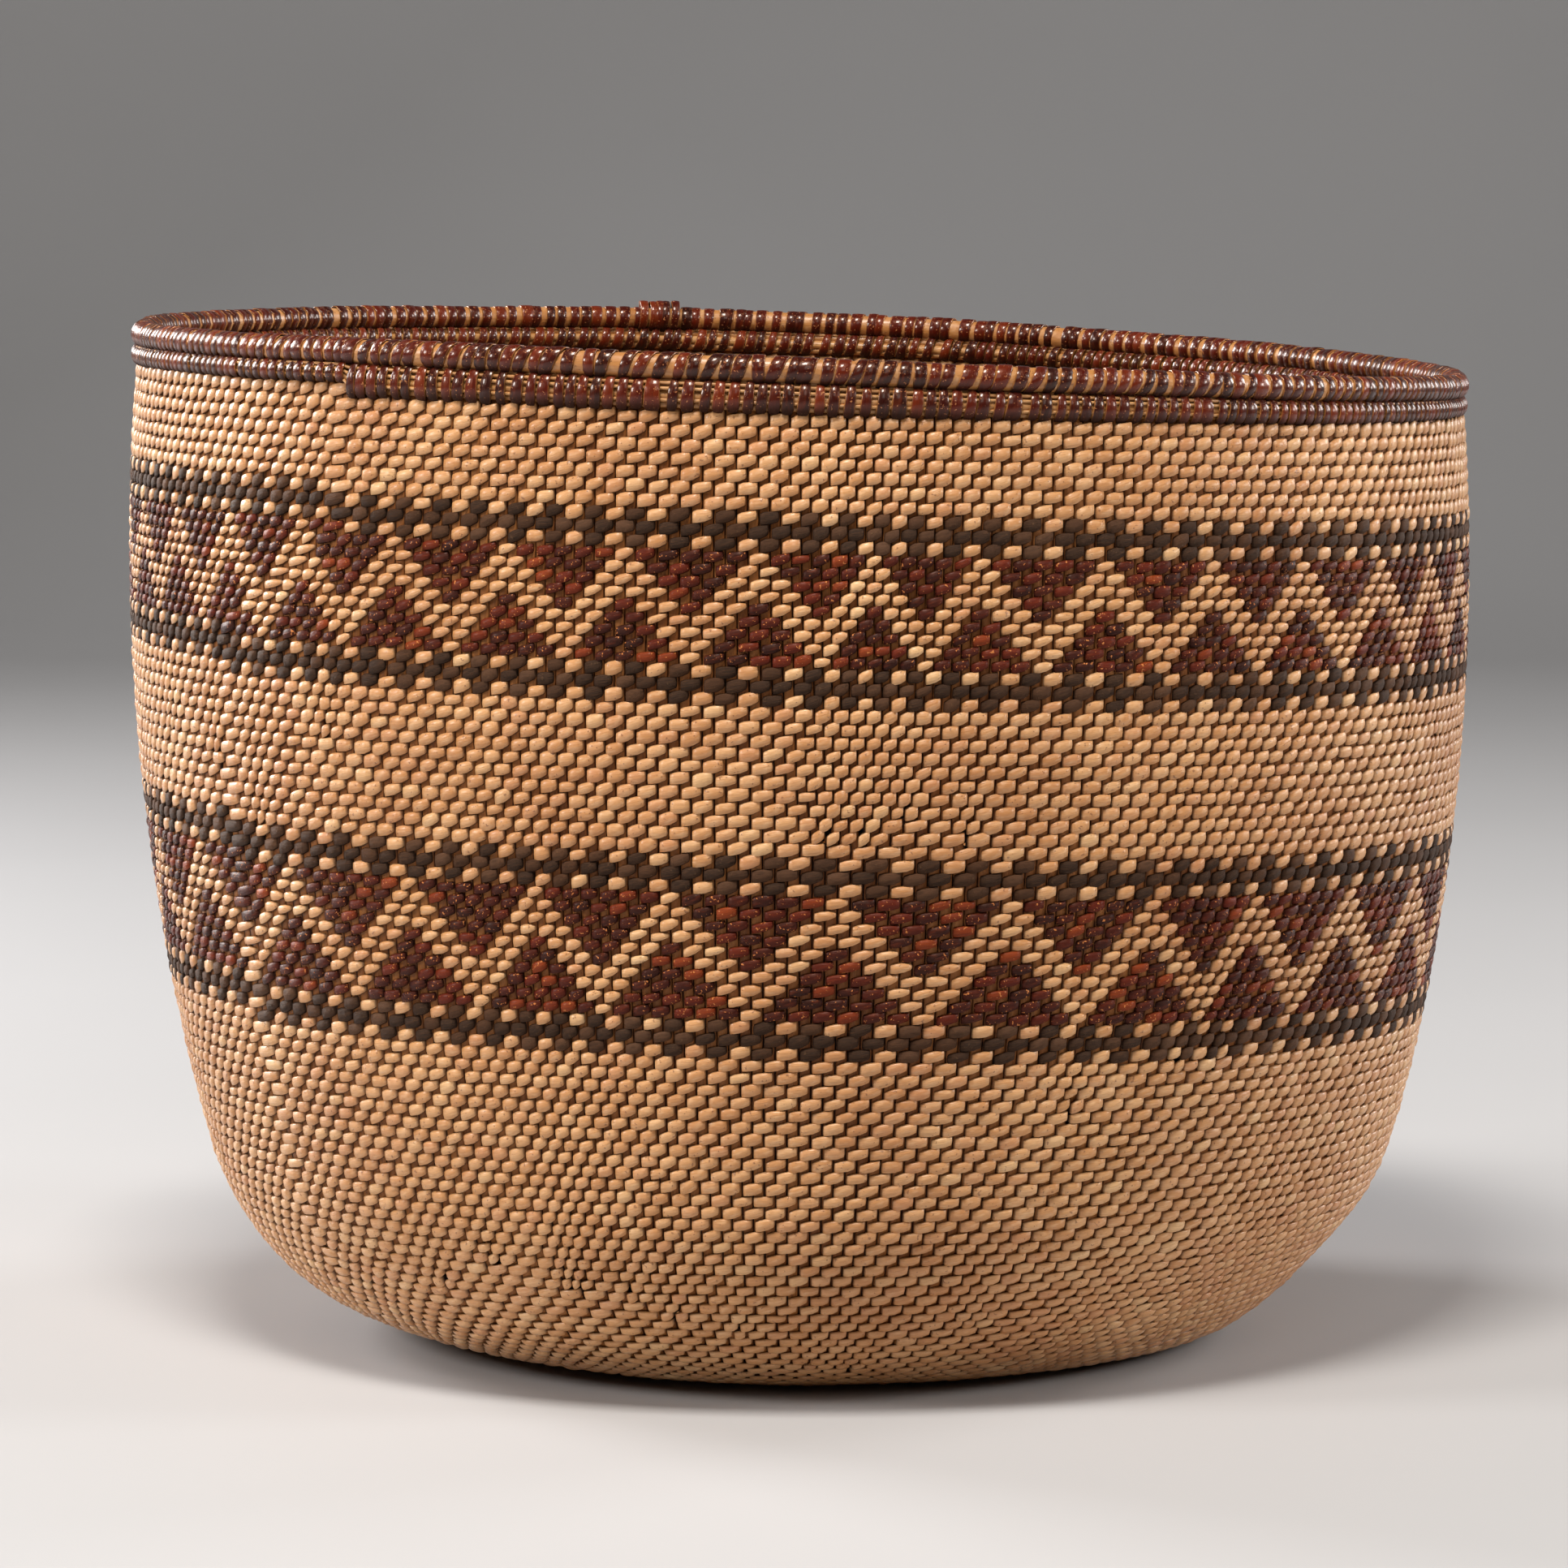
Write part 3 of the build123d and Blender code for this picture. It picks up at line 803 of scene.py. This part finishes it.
rod = {
    # each rod: its way out in millimetres, its height as a share of the hoop's half, its radius
    "lower": [(0.0, 0.40, 1.5), (1.5, -0.10, 1.5), (-1.5, -0.10, 1.5), (0.9, -0.55, 1.2), (-1.2, -0.55, 1.2),
              (2.8, 0.25, 0.5), (2.5, 0.55, 0.5), (2.9, -0.35, 0.5), (0.7, 0.70, 0.6), (-0.9, 0.70, 0.6)],
    "upper": [(0.0, 0.0, 3.45)],
    "rings": 300,
    "lowerAround": 8,
    "upperAround": 10,
    "lowerFlat": 2.4,  # a rod of the bundle is at most the hoop's height over this
    "upperFlat": 0.86,  # and the single rod is this share of its hoop's height
    "loose": 0.12 * mm,  # how far a rod strays, and how many times round the hoop
    "looseTimes": 4,
    "tintStep": 0.37,  # from one rod to the next, in tint and in millimetres of fibre pattern
    "runStep": 31,
}


def bendRods(name, rods, reach, lower, around):
    # closed rings: each rod is a circle carried round the hoop, its height a share of the hoop's half
    number = np.arange(len(rods))[:, None, None]
    out, up, radius = np.array(rods).T[:, :, None, None]
    out, radius = out * mm, radius * mm
    phi = hoop["step"] + np.arange(rod["rings"])[:, None] * 2 * math.pi / rod["rings"]
    turn = -np.arange(around)[None, :] * 2 * math.pi / around
    middle, half = hoopSection(phi, lower)
    loose = rod["loose"] * np.sin(phi * (rod["looseTimes"] + number) + number)
    flat = np.minimum(1, half / (rod["lowerFlat"] * radius)) if lower else rod["upperFlat"] * half / radius
    points = hoopPoint(phi, out + loose + radius * np.cos(turn),
                       middle + up * half + loose + flat * radius * np.sin(turn), reach)
    quads = sideQuads(rod["rings"], around, closed=True)
    quads = (quads[None] + number * rod["rings"] * around).reshape(-1, 4)
    run = np.sin(phi / 2) * math.pi * reach / mm + rod["runStep"] * number
    tint = number * rod["tintStep"] % 1
    bands = strandBands(points.shape[:3], run, np.sin(turn), tint, 0)
    return meshPiece(name, points.reshape(-1, 3), quads, bands, [materials["rod"]])


settle(bendRods("lowerHoopRods", rod["lower"], hoop["lowerReach"], True, rod["lowerAround"]),
       "hoop_rod", "lower_hoop_rods")
settle(bendRods("upperHoopRod", rod["upper"], hoop["upperReach"], False, rod["upperAround"]),
       "hoop_rod", "upper_hoop_rod")

# the wraps: strips once round a hoop, each from below over the outside, the top and the inside
wrapping = {
    "section": np.array([[1, 0.0], [0.84, 0.72], [0, 1], [-0.84, 0.72], [-1, 0.0], [0, -0.85]]),
    "halfThick": 0.40 * mm,
    "endPitch": 0.84,  # at the basket's two sides the wraps take this share of their room
    "follow": 0.1,  # of which their widths follow this much
    "broadBelow": 0.06,  # some wraps are broader
    "broad": 1.3,
    "apartAbove": 0.93,  # and before some others the gap is wider
    "apart": 2.2,
    "sideGap": 0.15,  # the share of a gap that is left at the two sides
    "slimmest": 0.82,  # over a thin part of the hoop the wraps stand out less
    "fullHalf": 4 * mm,
    "chance": (0.03, 0.45, 0.12),  # in the height, the lean and the thickness
    "ends": [-90, 90, 270],  # degrees round the section: its foot outside, its top, its foot inside
    "leanAt": [-0.5, 0.5, 0.5],
    "advanceAt": [0, 0, 1],
    "runRadius": 4.0,  # millimetres along a strip for each radian round the section
    "shift": 90,  # strips start at most this many millimetres along the pattern of fibres
    "shadeGain": 1.2,  # how dark the painted shade on the lower side gets, and from where
    "shadeStart": 0.15,
    "underShade": 0.5,
}
# the wraps of each hoop: width and gap lie between two values in millimetres, turns are degrees round
# the section, and widths are shares of the width there
upperWrap = {
    "halfOut": 3.55 * mm, "square": 1.0, "lower": False, "reach": hoop["upperReach"],
    "width": (3.2, 4.3), "gap": (0.2, 1.4), "lean": 3.0 * mm, "advance": 1.2 * mm,
    "turns": np.array([-90, -60, -35, -10, 15, 45, 75, 105, 140, 180, 220, 250, 270]),
    "widths": np.array([0.45, 0.75, 0.95, 1, 1, 1, 1, 1, 0.95, 0.95, 0.9, 0.7, 0.45]),
}
lowerWrap = {
    "halfOut": 3.9 * mm, "square": 0.5, "lower": True, "reach": hoop["lowerReach"],
    "width": (3.0, 4.0), "gap": (0.2, 1.2), "lean": 0.9 * mm, "advance": 2.6 * mm,
    "turns": np.array([-90, -68, -48, -28, -8, 15, 45, 90, 135, 165, 190, 225, 250, 270]),
    "widths": np.array([0.4, 0.8, 1, 1, 0.95, 0.9, 0.8, 0.7, 0.75, 0.85, 0.9, 1, 0.8, 0.4]),
}


def placeWraps(wrap):
    # uneven steps round the hoop, closer together at the two sides of the basket, and all of them
    # drawn together a little in the end, so that the last one meets the first
    steps, widths, phi = [], [], 0.0
    while phi < 2 * math.pi:
        crowd = 1 - (1 - wrapping["endPitch"]) * math.cos(phi) ** 2
        left = wrapping["sideGap"] + (1 - wrapping["sideGap"]) * math.sin(phi) ** 2
        draw = chance.random()
        width = chance.uniform(*wrap["width"]) * (1 - wrapping["follow"] + wrapping["follow"] * crowd)
        gap = chance.uniform(*wrap["gap"]) * left
        if draw < wrapping["broadBelow"]:
            width *= wrapping["broad"]
        if draw > wrapping["apartAbove"]:
            gap *= wrapping["apart"]
        steps.append(phi)
        widths.append(width)
        phi += (width + gap) * mm / hoop["upperReach"]
    return np.array(steps) * 2 * math.pi / phi, np.array(widths) * mm


def windWraps(name, wrap, phi, widths, grow=0.0, raised=0.0):
    # the section is an oval, squarer below where the square share is small; the strip leans on the
    # outside and goes on to its neighbour's foot over the inside
    turns = np.radians(wrap["turns"])[None, :, None]
    across, outward = wrapping["section"][:, 0], wrapping["section"][:, 1]
    count, samples, around = len(phi), turns.shape[1], len(across)
    draws = chance.normal(0, 1, (5, count, 1, 1))  # the last two are spare
    tall, lean, thick = [1 + size * draw for size, draw in zip(wrapping["chance"], draws)]
    middle, half = hoopSection(phi[:, None, None], wrap["lower"])
    power = np.where(np.sin(turns) < 0, wrap["square"], 1.0)
    slimmest = wrapping["slimmest"]
    halfOut = wrap["halfOut"] * np.minimum(slimmest + (1 - slimmest) * half / wrapping["fullHalf"], 1)
    out = (halfOut + grow) * np.sign(np.cos(turns)) * np.abs(np.cos(turns)) ** power
    up = middle + raised + (half + grow - wrapping["halfThick"]) * tall * np.sin(turns)
    slopeOut, slopeUp = np.gradient(out, axis=1), np.gradient(up, axis=1)
    off = outward * wrapping["halfThick"] * thick / np.hypot(slopeOut, slopeUp)
    leaning = np.interp(wrap["turns"], wrapping["ends"], wrapping["leanAt"])[None, :, None]
    advanced = np.interp(wrap["turns"], wrapping["ends"], wrapping["advanceAt"])[None, :, None]
    goes = leaning * wrap["lean"] * lean + advanced * wrap["advance"]
    goes = goes + across * widths[:, None, None] / 2 * wrap["widths"][None, :, None]
    place = phi[:, None, None] + goes / wrap["reach"]
    points = hoopPoint(place, out + slopeUp * off, up - slopeOut * off, wrap["reach"]).reshape(-1, 3)
    quads, _ = tubeQuads(count, samples, around)
    run = turns * wrapping["runRadius"] + wrapping["shift"] * chance.random((count, 1, 1))
    tint = chance.random((count, 1, 1))
    # painted shade: the lower side of the hoop and the underside of each strip are darkened in colour
    below = np.clip(-np.sin(turns) * wrapping["shadeGain"] - wrapping["shadeStart"], 0, 1)
    cleftShade = below + wrapping["underShade"] * (outward < 0)
    bands = strandBands((count, samples, around), run, across, tint, cleftShade)
    return meshPiece(name, points, quads, bands, [materials["wrap"]])


splice = {
    "angle": math.radians(103.2),
    "count": 5,
    "step": 2.8 * mm,
    "width": 3.0 * mm,
    "grow": 1.35 * mm,  # how much thicker and higher it is than the other wraps
    "rise": 0.85 * mm,
}
upperPlaces, upperWidths = placeWraps(upperWrap)
fromSplice = np.abs(np.angle(np.exp(1j * (upperPlaces - splice["angle"]))))
free = fromSplice > splice["count"] * splice["step"] / 2 / hoop["upperReach"]
settle(windWraps("upperHoopWraps", upperWrap, upperPlaces[free], upperWidths[free]),
       "redbud_lashing", "upper_hoop_lashing")
lowerPlaces, lowerWidths = placeWraps(lowerWrap)
settle(windWraps("lowerHoopWraps", lowerWrap, lowerPlaces, lowerWidths),
       "redbud_lashing", "lower_hoop_lashing")
spliceSteps = np.arange(splice["count"]) - (splice["count"] - 1) / 2
splicePlaces = splice["angle"] + spliceSteps * splice["step"] / hoop["upperReach"]
spliceWidths = np.full(splice["count"], splice["width"])
settle(windWraps("hoopSpliceBinding", upperWrap, splicePlaces, spliceWidths, splice["grow"], splice["rise"]),
       "redbud_lashing", "hoop_splice_binding")

# the camera stands where the photograph was taken from
camera = {
    "place": (0.0, -2.2, 0.3891),
    "lens": 160.3,
    "sensor": 36,
    "down": math.radians(5.653),
    "left": math.radians(0.12),
}
eye = bpy.data.objects.new("camera", bpy.data.cameras.new("camera"))
eye.data.lens = camera["lens"]
eye.data.sensor_width = camera["sensor"]
eye.location = camera["place"]
eye.rotation_euler = (math.pi / 2 - camera["down"], 0, camera["left"])
bpy.context.collection.objects.link(eye)
bpy.context.scene.camera = eye
print("camera", camera["place"])

# square lamps, all turned to the middle of the basket
lamps = [
    {"name": "leftLamp", "place": (-2.0, -0.75, 1.0), "power": 27, "size": 0.5, "colour": (1, 0.97, 0.93)},
    {"name": "leftBackLamp", "place": (-1.7, 1.2, 0.9), "power": 50, "size": 0.7, "colour": (1, 0.98, 0.96)},
    {"name": "rightLamp", "place": (2.1, -0.4, 0.9), "power": 19, "size": 0.5, "colour": (1, 0.97, 0.93)},
    {"name": "rightBackLamp", "place": (1.8, 1.0, 0.9), "power": 22, "size": 0.7, "colour": (1, 0.98, 0.96)},
    {"name": "topLamp", "place": (-0.2, -1.05, 2.25), "power": 58, "size": 0.6, "colour": (1, 0.95, 0.87)},
    {"name": "frontLamp", "place": (0.4, -2.6, 1.8), "power": 10, "size": 1.2, "colour": (1, 0.94, 0.86)},
]
lampGoal = np.array([0, 0, 0.16])
for lamp in lamps:
    light = bpy.data.lights.new(lamp["name"], "AREA")
    light.energy, light.size, light.color = lamp["power"], lamp["size"], lamp["colour"]
    holder = bpy.data.objects.new(lamp["name"], light)
    holder.location = lamp["place"]
    toMiddle = lampGoal - np.array(lamp["place"])
    holder.rotation_euler = (math.acos(-toMiddle[2] / np.linalg.norm(toMiddle)), 0,
                             math.atan2(toMiddle[1], toMiddle[0]) - math.pi / 2)
    bpy.context.collection.objects.link(holder)

air = {"colour": (1.0, 0.98, 0.96, 1.0), "strength": 0.05}
world = bpy.data.worlds.new("studio")
world.use_nodes = True
world.node_tree.nodes["Background"].inputs[0].default_value = air["colour"]
world.node_tree.nodes["Background"].inputs[1].default_value = air["strength"]
bpy.context.scene.world = world
print("lamps", len(lamps))

stage = {
    "half": 6.0,
    "back": 2.6,
    "curve": 1.2,
    "steps": 13,
    "darker": (0.70, 0.70, 0.71),
    "lighter": (0.72, 0.72, 0.73),
    "cloudScale": 3.0,
    "cloudDetail": 2.0,
    "roughness": 0.6,
}


def makeFloor():
    # a flat floor that turns up behind in a quarter circle and goes on as a wall
    turn = np.linspace(0, math.pi / 2, stage["steps"])
    y = np.concatenate([[-stage["half"]], stage["back"] + stage["curve"] * np.sin(turn),
                        [stage["back"] + stage["curve"]]])
    z = np.concatenate([[0], stage["curve"] * (1 - np.cos(turn)), [stage["half"]]])
    x = np.array([-stage["half"], stage["half"]])
    points = np.stack([np.tile(x, len(y)), np.repeat(y, 2), np.repeat(z, 2)], axis=1)
    row = np.arange(len(y) - 1) * 2
    quads = np.stack([row, row + 1, row + 3, row + 2], axis=1)
    mesh = bpy.data.meshes.new("floor")
    mesh.from_pydata(points.tolist(), [], quads.tolist())
    mesh.shade_smooth()
    material = bpy.data.materials.new("palePaper")
    material.use_nodes = True
    tree = material.node_tree
    skin = tree.nodes["Principled BSDF"]
    body = addNode(tree, "ShaderNodeTexCoord")
    cloud = addNoise(tree, body.outputs["Object"], stage["cloudScale"], stage["cloudDetail"])
    tone = mixColours(tree, cloud, linear(*stage["darker"]), linear(*stage["lighter"]))
    tree.links.new(tone, skin.inputs["Base Color"])
    skin.inputs["Roughness"].default_value = stage["roughness"]
    mesh.materials.append(material)
    floor = bpy.data.objects.new("floor", mesh)
    bpy.context.collection.objects.link(floor)
    print("made", floor.name)


makeFloor()
bpy.context.scene.view_settings.view_transform = "Standard"
